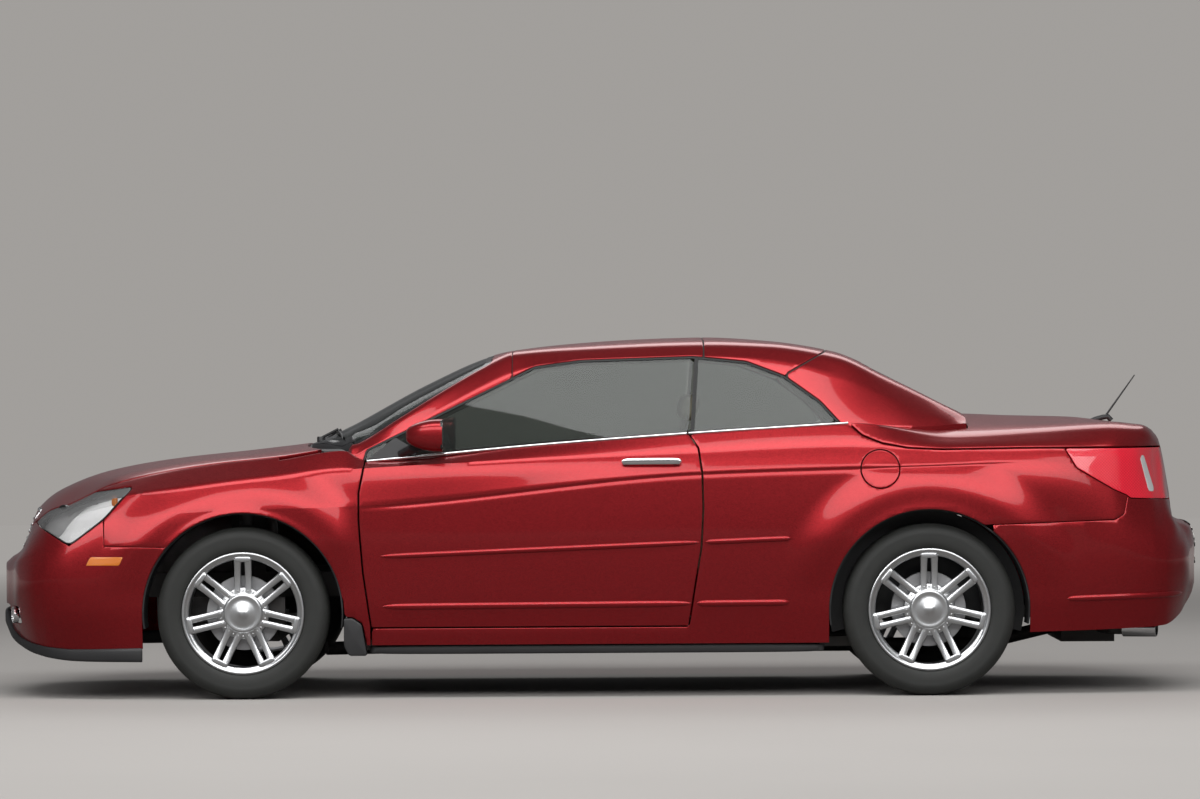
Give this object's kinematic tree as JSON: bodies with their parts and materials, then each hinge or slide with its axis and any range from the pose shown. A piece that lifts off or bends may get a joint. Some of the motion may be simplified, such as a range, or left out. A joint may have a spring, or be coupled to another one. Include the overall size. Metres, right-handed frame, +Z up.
{
  "type": "convertible car",
  "caption": "Convertible car with a raised folding metal hardtop; its doors, hood, trunk lid, fuel door, steering and wheels move.",
  "frame": {"origin": "on the ground at mid-length and mid-width of the body", "axes": "+X to the rear, +Y to the car's right, +Z up"},
  "size_m": [4.938, 2.036, 1.4559],
  "materials": {
    "paint": "deep red metallic with clear coat",
    "black_plastic": "grained black plastic",
    "bright_trim": "bright chrome",
    "glass": "grey-green tinted",
    "lamp_clear": "clear lens",
    "lamp_red": "red lens",
    "tyre": "matt rubber",
    "wheel_alloy": "bright painted alloy",
    "seat_leather": "cream leather",
    "cabin_plastic": "soft grained",
    "underbody": "satin dark coating",
    "engine_metal": "cast",
    "chassis_steel": "black coated steel",
    "exhaust_steel": "satin stainless steel"
  },
  "bodies": {
    "body": {"floor_pan": "underbody", "front_fender_left": "paint", "front_fender_right": "paint", "quarter_panel_left": "paint", "quarter_panel_right": "paint", "front_bumper": "paint", "grille": "bright_trim", "headlamps": "lamp_clear", "cowl": "black_plastic", "windshield_frame": "paint", "windshield": "glass", "roof_front_panel": "paint", "roof_middle_panel": "paint", "roof_rear_panel": "paint", "rear_window": "glass", "quarter_windows": "glass", "rear_bumper": "paint", "tail_lamps": "lamp_red", "dashboard": "cabin_plastic", "front_seats": "seat_leather", "rear_seat": "seat_leather", "engine_block": "engine_metal", "suspension_arms": "chassis_steel", "exhaust": "exhaust_steel", "wheel_arch_liners": "black_plastic", "lower_trim": "black_plastic"},
    "door_left": {"door_left": "paint", "door_glass_left": "glass", "mirror_left": "paint"},
    "door_right": {"door_right": "paint", "door_glass_right": "glass", "mirror_right": "paint"},
    "hood": {"hood": "paint"},
    "trunk_lid": {"trunk_lid": "paint"},
    "fuel_door": {"fuel_door": "paint"},
    "steering_wheel": {"steering_wheel": "cabin_plastic"},
    "knuckle_left": {"knuckle_left": "chassis_steel"},
    "knuckle_right": {"knuckle_right": "chassis_steel"},
    "wheel_front_left": {"tyre_front_left": "tyre", "rim_front_left": "wheel_alloy"},
    "wheel_front_right": {"tyre_front_right": "tyre", "rim_front_right": "wheel_alloy"},
    "wheel_rear_left": {"tyre_rear_left": "tyre", "rim_rear_left": "wheel_alloy"},
    "wheel_rear_right": {"tyre_rear_right": "tyre", "rim_rear_right": "wheel_alloy"}
  },
  "joints": [
    {"name": "left_door", "type": "hinge", "parent": "body", "child": "door_left", "pos_m": [-0.878, -0.868, 0.6], "axis": [0, 0, -1], "range_deg": [0, 65]},
    {"name": "right_door", "type": "hinge", "parent": "body", "child": "door_right", "pos_m": [-0.878, 0.868, 0.6], "axis": [0, 0, 1], "range_deg": [0, 65]},
    {"name": "hood_lift", "type": "hinge", "parent": "body", "child": "hood", "pos_m": [-1.112, 0, 1.016], "axis": [0, 1, 0], "range_deg": [0, 50]},
    {"name": "trunk_lid_lift", "type": "hinge", "parent": "body", "child": "trunk_lid", "pos_m": [1.012, 0, 1.1], "axis": [0, -1, 0], "range_deg": [0, 60]},
    {"name": "fuel_door_swing", "type": "hinge", "parent": "body", "child": "fuel_door", "pos_m": [1.0515, -0.9005, 0.914], "axis": [0, 0, -1], "range_deg": [0, 85]},
    {"name": "steering_wheel_turn", "type": "hinge", "parent": "body", "child": "steering_wheel", "pos_m": [-0.56, -0.37, 0.88], "axis": [0.9063, 0, 0.4226], "range_deg": [-448, 448]},
    {"name": "front_left_steer", "type": "hinge", "parent": "body", "child": "knuckle_left", "pos_m": [-1.44, -0.735, 0.25], "axis": [0, 0.2272, 0.9738], "range_deg": [-28, 28]},
    {"name": "front_right_steer", "type": "hinge", "parent": "body", "child": "knuckle_right", "pos_m": [-1.44, 0.735, 0.25], "axis": [0, -0.2272, 0.9738], "range_deg": [-28, 28]},
    {"name": "front_left_wheel_spin", "type": "hinge", "parent": "knuckle_left", "child": "wheel_front_left", "pos_m": [-1.44, -0.785, 0.347], "axis": [0, 1, 0], "continuous": true},
    {"name": "front_right_wheel_spin", "type": "hinge", "parent": "knuckle_right", "child": "wheel_front_right", "pos_m": [-1.44, 0.785, 0.347], "axis": [0, 1, 0], "continuous": true},
    {"name": "rear_left_wheel_spin", "type": "hinge", "parent": "body", "child": "wheel_rear_left", "pos_m": [1.325, -0.785, 0.347], "axis": [0, 1, 0], "continuous": true},
    {"name": "rear_right_wheel_spin", "type": "hinge", "parent": "body", "child": "wheel_rear_right", "pos_m": [1.325, 0.785, 0.347], "axis": [0, 1, 0], "continuous": true}
  ],
  "couplings": [
    {"joint": "front_right_steer", "follows": "front_left_steer", "ratio": 1},
    {"joint": "steering_wheel_turn", "follows": "front_left_steer", "ratio": 16}
  ]
}
